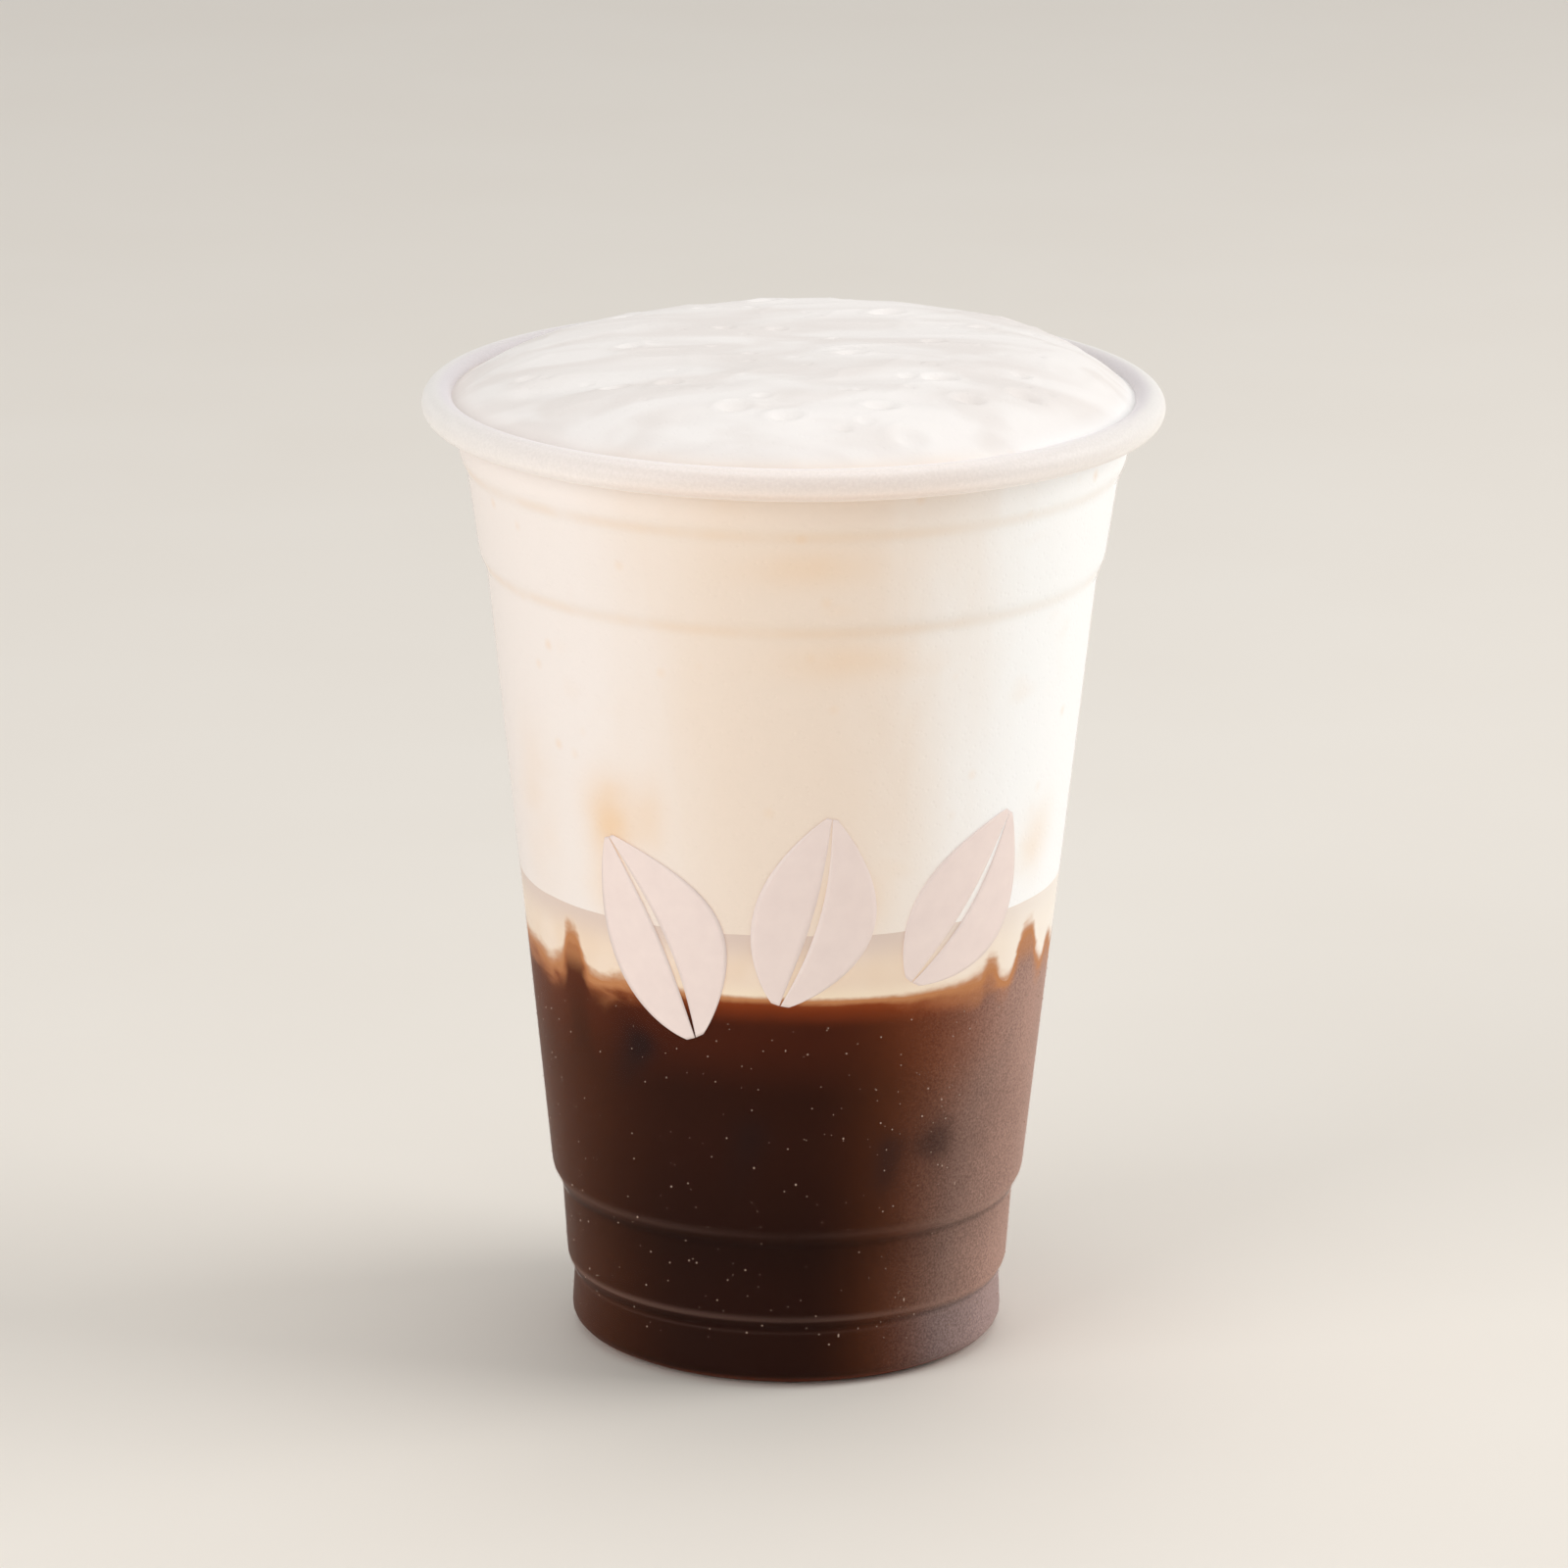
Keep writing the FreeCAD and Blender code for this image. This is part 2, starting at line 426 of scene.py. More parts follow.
# ice sunk in the coffee, seen as dim shapes where it comes near the wall
iceForm = {
    # cubes: direction in degrees, height, distance from the axis and half size in mm, two turns in degrees
    "cubes": [(-38, 46.0, 27.5, 4.2, 25, 40), (25.5, 31.4, 26.6, 3.6, 55, 15), (35, 34.0, 25.5, 4.6, 10, 60),
              (-10, 33.5, 22.4, 6.5, 35, 20), (112, 36.0, 22.5, 8.0, 15, 35), (175, 30.0, 22.0, 7.5, 70, 25),
              (238, 38.0, 21.9, 8.0, 40, 10)],
    "squareness": 4.0,       # 2 is a ball, more is nearer a cube
    "columns": 28, "rows": 15,
    "haze": 1.4,             # mm of coffee that hides a cube by two thirds
    "clear": tone(120, 112, 110), "core": tone(196, 194, 196),
}


def cubeFrame(direction, height, distance, firstTurn, secondTurn):
    # centre and turned axes of one cube
    tipped = Matrix.Rotation(math.radians(secondTurn), 3, "X")
    turned = Matrix.Rotation(math.radians(firstTurn), 3, "Z") @ tipped
    angle = math.radians(direction)
    centre = np.array([math.sin(angle) * distance, -math.cos(angle) * distance, height]) * mm
    return centre, np.array(turned)


def iceNearness(radii, heights, angle):
    # how strongly ice shows at each point of the wall: it fades with the coffee in front of it
    points = np.stack(np.broadcast_arrays(radii * np.sin(angle), -radii * np.cos(angle), heights), axis=-1)
    power = iceForm["squareness"]
    nearness = np.zeros(radii.shape)
    for direction, height, distance, half, firstTurn, secondTurn in iceForm["cubes"]:
        centre, axes = cubeFrame(direction, height, distance, firstTurn, secondTurn)
        local = np.abs((points - centre) @ axes) / mm
        gap = (local ** power).sum(axis=-1) ** (1 / power) - half
        nearness = np.maximum(nearness, np.exp(-np.maximum(gap, 0) / iceForm["haze"]))
    return nearness


def roundShape(columns, rows):
    # points, four-sided faces and caps of a ball of radius one, as a grid of turn and tilt
    turn = around(columns)
    tilt = np.linspace(-math.pi / 2, math.pi / 2, rows + 2)[1:-1, None]
    rings = np.broadcast_arrays(np.cos(tilt) * np.sin(turn), -np.cos(tilt) * np.cos(turn), np.sin(tilt))
    points = np.concatenate([[[0, 0, -1]], np.stack(rings, -1).reshape(-1, 3), [[0, 0, 1]]])
    return points, *ringFaces(rows, columns)


def repeated(name, shapes, quads, fans):
    # one mesh of many copies of a shape: shapes holds each copy's points
    step = (np.arange(len(shapes)) * shapes.shape[1])[:, None, None]
    return makeMesh(name, shapes.reshape(-1, 3), (quads + step).reshape(-1, 4), (fans + step).reshape(-1, 3))


def icePiece():
    # rounded cubes: a ball's directions pushed out until the powers of x, y and z add up to one
    ball, quads, fans = roundShape(iceForm["columns"], iceForm["rows"])
    power = iceForm["squareness"]
    ball = ball / (np.abs(ball) ** power).sum(axis=1, keepdims=True) ** (1 / power)
    cubes = []
    for direction, height, distance, half, firstTurn, secondTurn in iceForm["cubes"]:
        centre, axes = cubeFrame(direction, height, distance, firstTurn, secondTurn)
        cubes.append(ball * half * mm @ axes.T + centre)
    return repeated("ice", np.array(cubes), quads, fans)


def iceLook():
    # cloudy ice: noise runs from grey, where it is clear, to the grey-white of its core
    finish = Finish("ice")
    cloud = finish.noise(finish.stretched(4, 4, 4), 3.0).ramp(0.35, 0.7)
    finish.cover({"Base Color": finish.mixed(iceForm["clear"], iceForm["core"], cloud),
                  "Roughness": 0.12 + cloud * 0.2, "IOR": 1.31})
    return finish


# coffee
coffeeForm = {
    "columns": 400, "rowSpacing": 0.6 * mm, "lineReach": 11 * mm, "bottomRows": 14, "topRows": 10,
    "deep": tone(44, 18, 9), "bottom": tone(36, 14, 7), "warm": tone(76, 31, 15), "rust": tone(132, 57, 24),
    # the film's colours by thickness; the film is partly painted light on the lit +X side
    "thinFilm": tone(170, 92, 46), "film": tone(177, 141, 127), "footFilm": tone(168, 143, 138),
    "chill": tone(34, 21, 20),         # in front of ice
    # painted light bounced up from the table onto the foot's edge, and painted shade for the ledges
    "tableBounce": tone(134, 62, 30), "shade": tone(14, 6, 4),
    # painted lines of shade and of light (painted highlights) on the wall's ledges: low, middle and high in
    # mm, and the share at the front and at the sides
    "shadeLines": [(19.0, 20.0, 20.7, 0.30, 0.42), (7.7, 8.2, 8.9, 0.22, 0.30),
                   (12.5, 19.6, 19.9, 0.26, 0.10)],
    "filmLines": [(20.7, 21.4, 22.6, 0.02, 0.12), (8.9, 9.45, 10.4, 0.10, 0.26),
                  (7.1, 7.5, 7.8, 0.03, 0.06)],
}
blendTone = tone(190, 130, 86)       # where coffee and milk meet


def coffeePiece():
    # a raised bottom, the wall up to the wavy line, and a wavy top
    form = coffeeForm
    angle = around(form["columns"])
    radii = np.linspace(0, bottomRadii.max(), form["bottomRows"] + 2)[1:-1, None] * np.ones_like(angle)
    bottom = (radii, bottomHeight(radii) - wallReach)
    low = np.full_like(angle, insideHeights.min())
    wall = wallRows(low, coffeeLine(angle), form["rowSpacing"], form["lineReach"])
    top = discRows(form["topRows"], coffeeLine(angle), coffeeMean, False)
    radii, heights = stacked(bottom, wall, top)
    return turnedGrid("coffee_body", radii, heights, {
        "rise": (heights - coffeeLine(angle)) / mm, "lift": (heights - coffeeMean) / mm,
        "ice": iceNearness(radii, heights, angle), "haze": litFilmAt(angle), "unrest": unrestAt(angle),
        "aside": np.abs(np.sin(angle)) ** 1.3})


def stirred(finish):
    # height over the coffee's line in mm, bent by curling noise where the drink is stirred; that noise; and
    # the width in mm over which coffee and milk blend: 0.5 + 1.9 * unrest
    curl = finish.noise(finish.stretched(9, 9, 3.2), 3.0, 0.55, 0.8)
    fine = finish.noise(finish.stretched(1.6, 1.6, 1.1), 3.0, 0.6)
    unrest = finish.attribute("unrest")
    rise = finish.attribute("rise") + (curl - 0.5) * 3.4 * unrest + (fine - 0.5) * (0.35 + unrest * 0.5)
    return rise, curl, 0.5 + unrest * 1.9


def coffeeLook():
    # dark brown that warms over 11 mm and turns to rust in the last 4 below the milk, with amber curls at the
    # sides and in the tongues; where ice nears the wall it is darker and cooler, and the film thinner; film =
    # thin brown to grey by thickness, laid over by haze * clouds * grains, a milky film that is partly
    # painted light, strongest on the lit +X side; each ledge has a painted highlight line and a painted shade
    # line; the foot's edge is redder and lighter, painted light bounced up from the table
    form = coffeeForm
    finish = Finish("coffee")
    rise, curl, blend = stirred(finish)
    slow = finish.noise(finish.stretched(26, 26, 20), 2.0)
    height = finish.height()
    aside = finish.attribute("aside")
    unrest = finish.attribute("unrest")
    lift = finish.attribute("lift")
    colour = finish.mixed(form["deep"], form["bottom"], lift.ramp(-18, -34))
    colour = finish.mixed(colour, form["warm"], rise.ramp(-14, -3.0) * slow.ramp(0.2, 0.8, 0.45, 1.0))
    colour = finish.mixed(colour, form["rust"], rise.ramp(-4.0, 0.0))
    grain = finish.noise(finish.stretched(0.3, 0.3, 0.3), 2.0, 0.7)
    # share of the milky film, partly painted light on the lit +X side
    haze = finish.attribute("haze")
    thick = finish.mixed(form["film"], form["footFilm"], height.ramp(9.2, 7.9))
    thickness = haze * height.ramp(46, 30, 1.35, 2.1)
    film = finish.mixed(form["thinFilm"], thick, thickness.ramp(0.05, 1.0))
    cloud = finish.noise(finish.stretched(7, 7, 9), 3.0, 0.6)
    # the film's share over the coffee, strongest on the lit side: a milky film and partly painted light
    litFilmShare = haze * (0.66 + slow * 0.36 + cloud * 0.32) * height.ramp(46, 30, 1.0, 0.94)
    ice = finish.attribute("ice").ramp(0.08, 0.75)
    litFilmShare = litFilmShare * grain.ramp(0.3, 0.7, 0.7, 1.32) * (1 - ice * 0.5)
    colour = finish.mixed(colour, form["chill"], ice * 0.9)
    colour = finish.mixed(colour, film, litFilmShare)
    # painted shade lines in the shade colour and painted highlight lines in the film's colour along the
    # ledges
    for kind in ("shade", "film"):
        for low, middle, high, front, sides in form[kind + "Lines"]:
            share = front + aside * (sides - front)
            colour = finish.mixed(colour, form[kind], height.band(low, middle, high) * share)
    # painted light bounced up from the table, on the foot's lower edge
    colour = finish.mixed(colour, form["tableBounce"], height.ramp(1.7, 0.3, 0.0, 0.6))
    wisp = (rise / blend).ramp(-1.9, -0.1) * curl.ramp(0.3, 0.62, 0.35, 1.0) * unrest * 0.7
    tongue = lift.ramp(-0.8, 2.6, 0.0, 0.7) * unrest
    edge = (rise / blend).ramp(-1.1, 0.0)
    colour = finish.mixed(colour, blendTone, wisp.atLeast(tongue).atLeast(edge))
    finish.cover({"Base Color": colour, "Roughness": 0.4 + grain * 0.12, "IOR": 1.45,
                  "Specular IOR Level": 0.05, "Normal": finish.bump(grain, 0.001)})
    return finish


# milk
milkForm = {
    "columns": 400, "rowSpacing": 0.3 * mm, "lineReach": 8.5 * mm, "discRows": 8,
    "body": tone(238, 214, 190), "pale": tone(243, 224, 206), "shade": tone(218, 197, 186),
    "cream": tone(248, 230, 204), "lit": tone(248, 243, 234),
}


def milkPiece():
    # the ring between the coffee's line and the foam's, closed by wavy discs
    form = milkForm
    angle = around(form["columns"])
    bottom = discRows(form["discRows"], coffeeLine(angle), coffeeMean, True)
    wall = wallRows(coffeeLine(angle), foamLine(angle), form["rowSpacing"], form["lineReach"])
    top = discRows(form["discRows"], foamLine(angle), foamMean, False)
    radii, heights = stacked(bottom, wall, top)
    return turnedGrid("milk_body", radii, heights, {
        "rise": (heights - coffeeLine(angle)) / mm, "drop": (foamLine(angle) - heights) / mm,
        "haze": litFilmAt(angle), "unrest": unrestAt(angle)})


def milkLook():
    # pinkish grey under the foam, warmer below, creamy over the coffee, with an amber edge that fades over
    # the width of the blend; painted light makes it whiter towards the lit +X side
    form = milkForm
    finish = Finish("milk")
    rise, _, blend = stirred(finish)
    smear = finish.noise(finish.stretched(9, 9, 14), 2.0, 0.5)
    colour = finish.mixed(form["body"], form["pale"], smear.ramp(0.3, 0.7))
    colour = finish.mixed(colour, form["shade"], finish.attribute("drop").ramp(0.0, 5.0, 0.85, 0.0))
    colour = finish.mixed(colour, form["cream"], rise.ramp(0.2, 2.6, 0.75, 0.0))
    # painted light where the lamp on the +X side falls
    colour = finish.mixed(colour, form["lit"], finish.attribute("haze") * 0.8)
    colour = finish.mixed(colour, blendTone, (rise / blend).ramp(0.0, 0.95, 1.0, 0.0))
    finish.cover({"Base Color": colour, "Roughness": 0.42 + smear * 0.08, "IOR": 1.4,
                  "Specular IOR Level": 0.3})
    return finish


# foam
foamForm = {
    "columns": 400, "rowSpacing": 0.62 * mm, "lineReach": 7 * mm, "bottomRows": 6, "domeRows": 104,
    "fullness": 5.5,         # power of the dome's outline
    "lean": 0.19,            # share by which it is fuller towards +X
    "waveHeight": 0.22,      # mm of long waves over the dome
    "creases": 0.16,         # mm of finer folds
    "dentWidth": 0.62, "dentDepth": 1.35,     # shares of the widths and depths below
    # dents of burst bubbles: place, width and depth in mm
    "dents": [(-22.5, -19.3, 1.6, 0.5), (-7.3, -30.4, 1.8, 0.6), (-1, -33.8, 1.8, 0.6),
              (7.2, -6.5, 1.7, 0.45), (18.2, -18.2, 1.9, 0.65), (21.8, -25.3, 1.8, 0.55),
              (29, -20.9, 1.8, 0.6), (10.8, -30.1, 1.9, 0.55), (14.3, -36.6, 2.1, 0.65),
              (6.2, -36.2, 1, 0.35), (9, -34.3, 1.1, 0.35), (17.7, -1.1, 1.3, 0.35), (-9, 8.9, 1.2, 0.35),
              (-2.2, 8.1, 1.2, 0.35), (-21, -0.4, 1.4, 0.3), (-33.8, -9.6, 1.4, 0.35),
              (-15.7, -19.1, 1.4, 0.4), (28.6, -14, 1.1, 0.4), (-4, -27.6, 1.1, 0.3),
              (14.4, -17.8, 1.2, 0.35), (12, 18, 1.9, 0.55), (-22, 20, 1.5, 0.45), (24, 9, 1.3, 0.4),
              (-4, 31, 1.8, 0.5), (29, 21, 1.6, 0.45), (-12, 23, 1.2, 0.35)],
    # long shallow troughs: both ends, half width and depth in mm
    "troughs": [(-33, -15.5, -8, -21, 2.4, 0.46), (-13, -32.4, 18, -27, 1.9, 0.32),
                (7, -20, 31, -15, 2.6, 0.34), (-30, 14, -19, 1, 1.8, -0.34), (-18, 26, 9, 30, 2.2, 0.40),
                (17, 27, 34, 7, 2.4, 0.36)],
    "smallDents": 80, "smallReach": 40,       # how many more, and how far from the axis in mm
    "headroom": 0.35,        # mm left between the swell and the top of the dome's box
    "edgeShare": 0.12,       # share of the radius over which the relief fades out at the lip
    "edgeReach": 0.05,       # mm that the dome's edge reaches into the lip
    # low is the front, left and right the sides; the sides, and most of all the lit +X side, are whiter:
    # painted light and shade
    "low": tone(241, 224, 208), "left": tone(243, 234, 228), "right": tone(250, 250, 249),
    "soaked": tone(240, 205, 166), "top": tone(236, 229, 224), "topLight": tone(245, 240, 236),
    # the steps' heights, where painted shade lines fall on the foam
    "stepShadeHeights": [116.2, 103.3],     # mm, where the wall's steps press into the foam
    # where coffee has soaked in: direction in degrees, height, half width and half height in mm, strength
    "soaks": [(-39, 75, 4, 6, 0.7), (-29, 77, 2.2, 5, 0.25), (-62, 74, 5, 10, 0.25), (-36, 66, 5, 3.5, 0.4),
              (12, 67, 3.6, 3.6, 0.5), (61, 71, 4, 5, 0.25), (2, 112, 9, 2.6, 0.3), (9, 99.5, 8, 2.6, 0.3),
              (120, 78, 4.6, 7, 0.35), (165, 69, 6, 4, 0.3), (214, 76, 4.4, 8, 0.35), (250, 70, 5, 4, 0.3)],
}


def domeRelief(across, deep):
    # long waves, finer folds, troughs that fade with distance from a line, listed dents with a low rim, and
    # small scattered dents, all in mm
    waves = foamForm["waveHeight"] * (softNoise(across + deep * 0.5, deep * 1.5, 17, 21)
                                      + 0.5 * softNoise(across, deep * 1.3, 7.5, 22))
    folds = foamForm["creases"] * (1 - np.abs(softNoise(across * 0.5, deep, 4.5, 23))) ** 4
    relief = waves + folds
    for x, y, toX, toY, width, depth in foamForm["troughs"]:
        run = np.hypot(toX - x, toY - y)
        along = np.clip(((across - x) * (toX - x) + (deep - y) * (toY - y)) / run ** 2, 0, 1)
        away = np.hypot(across - x - along * (toX - x), deep - y - along * (toY - y)) / width
        relief = relief - depth * np.exp(-away ** 2)
    chance = np.random.default_rng(31)
    spread = foamForm["smallReach"] * np.sqrt(chance.uniform(0, 1, foamForm["smallDents"]))
    turned = chance.uniform(0, 2 * math.pi, foamForm["smallDents"])
    small = zip(spread * np.cos(turned), spread * np.sin(turned), chance.uniform(0.5, 0.9, len(spread)),
                chance.uniform(0.06, 0.22, len(spread)))
    for x, y, width, depth in foamForm["dents"] + list(small):
        away = np.hypot((across - x) / 1.5, deep - y) / width / foamForm["dentWidth"]
        depth = depth * foamForm["dentDepth"]
        relief = relief - depth * np.exp(-away ** 2) + 0.3 * depth * np.exp(-((away - 1.5) / 0.5) ** 2)
    return relief


def foamPiece():
    # the body from its wavy lower line up the wall, and the dome: edge + swell * (1 - (r / R)^fullness),
    # leaning to one side, with relief that fades out at the lip
    form = foamForm
    angle = around(form["columns"])
    edgeHeight = insideHeights.max()
    edgeRadius = float(insideRadius(edgeHeight)) + form["edgeReach"] * mm
    bottom = discRows(form["bottomRows"], foamLine(angle), foamMean, True)
    edge = np.full_like(angle, edgeHeight)
    wall = wallRows(foamLine(angle), edge, form["rowSpacing"], form["lineReach"])
    share = np.linspace(1, 0, form["domeRows"] + 1)[1:-1, None]
    radii = edgeRadius * share * np.ones_like(angle)
    across = radii * np.sin(angle) / mm
    deep = -radii * np.cos(angle) / mm
    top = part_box("foam")[1].z - edgeHeight - form["headroom"] * mm
    lean = 1 + form["lean"] * np.sin(angle) * share
    swell = top / (1 + form["lean"] * 0.45) * (1 - share ** form["fullness"]) * lean
    fade = np.clip((1 - share) / form["edgeShare"], 0, 1)
    heights = edgeHeight + swell + domeRelief(across, deep) * mm * fade
    radii, heights = stacked(bottom, wall, (radii, heights))
    soaked = 0 * radii
    for turned, height, width, tall, strength in form["soaks"]:
        aside = np.radians(angleFrom(angle, turned)) * radii / mm / width
        soaked = soaked + strength * np.exp(-aside ** 2 - ((heights / mm - height) / tall) ** 2)
    return turnedGrid("foam_body", radii, heights, {
        "rise": (heights - foamLine(angle)) / mm, "top": (heights - edgeHeight) / mm, "soaked": soaked,
        "side": np.sin(angle) + 0 * radii})


def foamLook():
    # warm white behind the front wall and nearly white at the sides, whitest on the lit +X side, which is
    # painted light and shade; peach where coffee has soaked in and in faint specks, and peach painted shade
    # along the wall's steps; on top slow swirls of two whites; pinholes and a soft grain all over
    form = foamForm
    finish = Finish("foam")
    smear = finish.noise(finish.stretched(8, 8, 30), 3.0, 0.5, 0.3)
    patch = finish.noise(finish.stretched(15, 15, 11), 2.0, 0.5)
    rise = finish.attribute("rise")
    side = finish.attribute("side") + (smear - 0.5) * 0.3
    # painted light and shade: warm at the front, paler to the left, nearly white on the lit +X side
    colour = finish.mixed(form["low"], form["left"], side.ramp(-0.15, -0.75))
    colour = finish.mixed(colour, form["right"], side.ramp(0.12, 0.85))
    stain = finish.attribute("soaked") * patch.ramp(0.25, 0.6, 0.4, 1.2) + patch.ramp(0.6, 0.8, 0.0, 0.2)
    colour = finish.mixed(colour, form["soaked"], stain)
    height = finish.height()
    # painted shade along the wall's steps, in the soaked colour, weaker on the lit side
    stepShade = 0
    for level in form["stepShadeHeights"]:
        stepShade = stepShade + height.band(level - 1.3, level, level + 1.3)
    calm = side.ramp(0.3, 0.8, 1.0, 0.5)
    colour = finish.mixed(colour, form["soaked"], stepShade * smear.ramp(0.3, 0.6, 0.06, 0.2) * calm)
    speck = finish.cells(finish.stretched(7, 7, 7)).ramp(0.0, 0.17, 1.0, 0.0)
    colour = finish.mixed(colour, form["soaked"], speck * rise.ramp(8.0, 24.0) * 0.3)
    swirl = finish.noise(finish.stretched(21, 10, 9), 2.5, 0.5, 0.8)
    top = finish.mixed(form["top"], form["topLight"], swirl.ramp(0.36, 0.62))
    colour = finish.mixed(colour, top, finish.attribute("top").ramp(-0.8, 2.4))
    pores = finish.cells(finish.stretched(0.9, 0.9, 0.9)).ramp(0.1, 0.35)
    grain = finish.noise(finish.stretched(0.5, 0.5, 0.5), 3.0, 0.6)
    relief = finish.bump(pores, 0.02, finish.bump(grain, 0.015))
    finish.cover({"Base Color": colour, "Roughness": 0.46 + grain * 0.1, "IOR": 1.36,
                  "Specular IOR Level": 0.3, "Normal": relief})
    return finish


# the cup's frosted plastic
cupForm = {
    "columns": 240,
    "roll": 2.03, "sheet": 0.6,        # mm, outside radius of the rolled lip and thickness of the sheet
    "curlEnd": -130.0, "rollRows": 34,      # degrees where the curl stops, rows round it
    "least": 0.03, "longest": 0.7,     # mm between rows: least, and longest without rows beside both ends
    "beside": 0.15,          # mm from those rows to the ends
    "veil": 0.002,           # how much of what lies behind it the frosted wall hides, seen square on
    "lipVeil": 0.38,         # the same at the rolled lip
    "lipFrom": 120.5, "lipTo": 123.0,       # mm, heights over which the wall turns into the lip
    "crest": 45.6,           # mm, radius where the roll turns from its inner slope to its crest
    # inner is the roll's inner slope, greyer as painted shade; outer is its crest
    "body": tone(242, 234, 230), "inner": tone(234, 228, 230), "outer": tone(241, 237, 233),
    "tan": tone(240, 225, 213),        # painted shade below the crest at the front
    "lipLight": tone(255, 236, 226),    # painted light at the front of the lip, standing in for light that reaches it through the sheet
    "scattered": 0.13,       # its strength
}


def cupLine():
    # the sheet's outline: under the foot, up outside, round the rolled lip, down inside and across the floor,
    # with an extra row close to both ends of every long straight part, so that the shading stays crisp
    form = cupForm
    low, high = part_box("cup")
    centre = np.array([min(high.x, high.y, -low.x, -low.y), high.z]) - form["roll"] * mm
    flare = np.array([outsideRadii[-1], outsideHeights[-1]]) - centre
    turn = np.linspace(math.atan2(flare[1], flare[0]), math.radians(form["curlEnd"]), form["rollRows"])
    rim = np.stack([np.cos(turn), np.sin(turn)], -1)
    hollow = centre + (form["roll"] - form["sheet"]) * mm * rim
    roll = centre + form["roll"] * mm * rim[::-1]
    under = undersideRadii < outsideRadii[0]
    floor = bottomRadii < insideRadii[0]
    inside = insideHeights < roll[-1, 1]
    line = np.concatenate([
        np.stack([undersideRadii[under], undersideHeights[under]], -1),
        np.stack([outsideRadii, outsideHeights], -1)[:-1], hollow, roll,
        np.stack([insideRadii[inside], insideHeights[inside]], -1)[::-1],
        np.stack([bottomRadii[floor], bottomHeights[floor]], -1)[::-1]])
    steps = np.linalg.norm(np.diff(line, axis=0), axis=1) / mm
    line = line[np.concatenate([[True], steps > form["least"]])]
    steps = np.linalg.norm(np.diff(line, axis=0), axis=1) / mm
    run = np.concatenate([[0], np.cumsum(steps)])
    long = steps > form["longest"]
    rows = np.sort(np.concatenate([run, run[:-1][long] + form["beside"], run[1:][long] - form["beside"]]))
    return np.interp(rows, run, line[:, 0]), np.interp(rows, run, line[:, 1])


def cupPiece():
    radii, heights = cupLine()
    even = np.ones((1, cupForm["columns"]))
    print("cup rows:", len(radii))
    front = np.clip(np.cos(around(cupForm["columns"])), 0, 1) ** 1.5
    return turnedGrid("cup_shell", radii[:, None] * even, heights[:, None] * even, {"front": front})


def cupLook():
    # hides 1 - (1 - veil)^(1 / cosine) of what is behind it, and at least two fifths where the sheet is seen
    # edge on; the lip is greyer on its inner slope and warmer below the crest at the front, both painted
    # shade; its front glows a little, a painted light, most along a painted highlight line at its lower edge;
    # the finish has a fine grain
    form = cupForm
    finish = Finish("frosted_cup")
    height = finish.height()
    flat = finish.node("ShaderNodeVectorMath", {"operation": "MULTIPLY"}, {0: finish.place, 1: (1, 1, 0)})
    radius = finish.node("ShaderNodeVectorMath", {"operation": "LENGTH"}, {0: flat}, 1) * (1 / mm)
    grain = finish.noise(finish.stretched(0.4, 0.4, 0.4), 2.0, 0.7)
    facing = finish.node("ShaderNodeLayerWeight", None, {"Blend": 0.5}, 1)
    atLip = height.ramp(form["lipFrom"], form["lipTo"])
    veil = form["veil"] + atLip * (form["lipVeil"] - form["veil"])
    hidden = 1 - (1 - veil * (0.85 + grain * 0.3)) ** (1 / (1 - facing).atLeast(0.08))
    hidden = hidden.atLeast(facing.ramp(0.9, 0.98, 0.0, 0.4))
    # painted shade: greyer on the roll's inner slope, lighter on the crest
    slope = finish.mixed(form["inner"], form["outer"], radius.ramp(form["crest"] - 1.0, form["crest"] + 0.5))
    front = finish.attribute("front")
    # a painted highlight line along the lip's lower edge at the front
    line = height.band(121.6, 121.95, 122.25) * front * front * 1.3
    below = height.ramp(123.8, 122.2)
    # painted shade, warmer and darker below the crest at the front
    slope = finish.mixed(slope, form["tan"], below * front.ramp(0.72, 0.98, 0.0, 0.8))
    # painted light: the front of the lip and that line shine a little by emission
    lipLight = finish.mixed((0, 0, 0, 1), form["lipLight"], atLip * (front + line + below * front * 0.7))
    finish.cover({"Base Color": finish.mixed(form["body"], slope, atLip), "Roughness": 0.34 + grain * 0.12,
                  "IOR": 1.49, "Alpha": hidden, "Normal": finish.bump(grain, 0.001),
                  "Emission Color": lipLight, "Emission Strength": form["scattered"]})
    return finish


# the pale print round the front: plain leaves with a split midrib
printForm = {
    # each leaf: direction in degrees, height of its middle, length and half width in mm, lean in degrees
    "leaves": [(-30, 61.0, 29.0, 8.4, -24), (3, 66.0, 27.0, 7.8, 14), (38, 66.0, 26.0, 8.0, 34)],
    "columns": 11, "rows": 61,         # points across half a leaf and along it
    "split": 0.45,           # mm, half width of the midrib
    "bend": 1.6,             # mm that the midrib bows
    "film": 0.03 * mm, "clear": 0.02 * mm,       # thickness of the ink, and the gap to the wall
    "ink": tone(244, 228, 221),
}


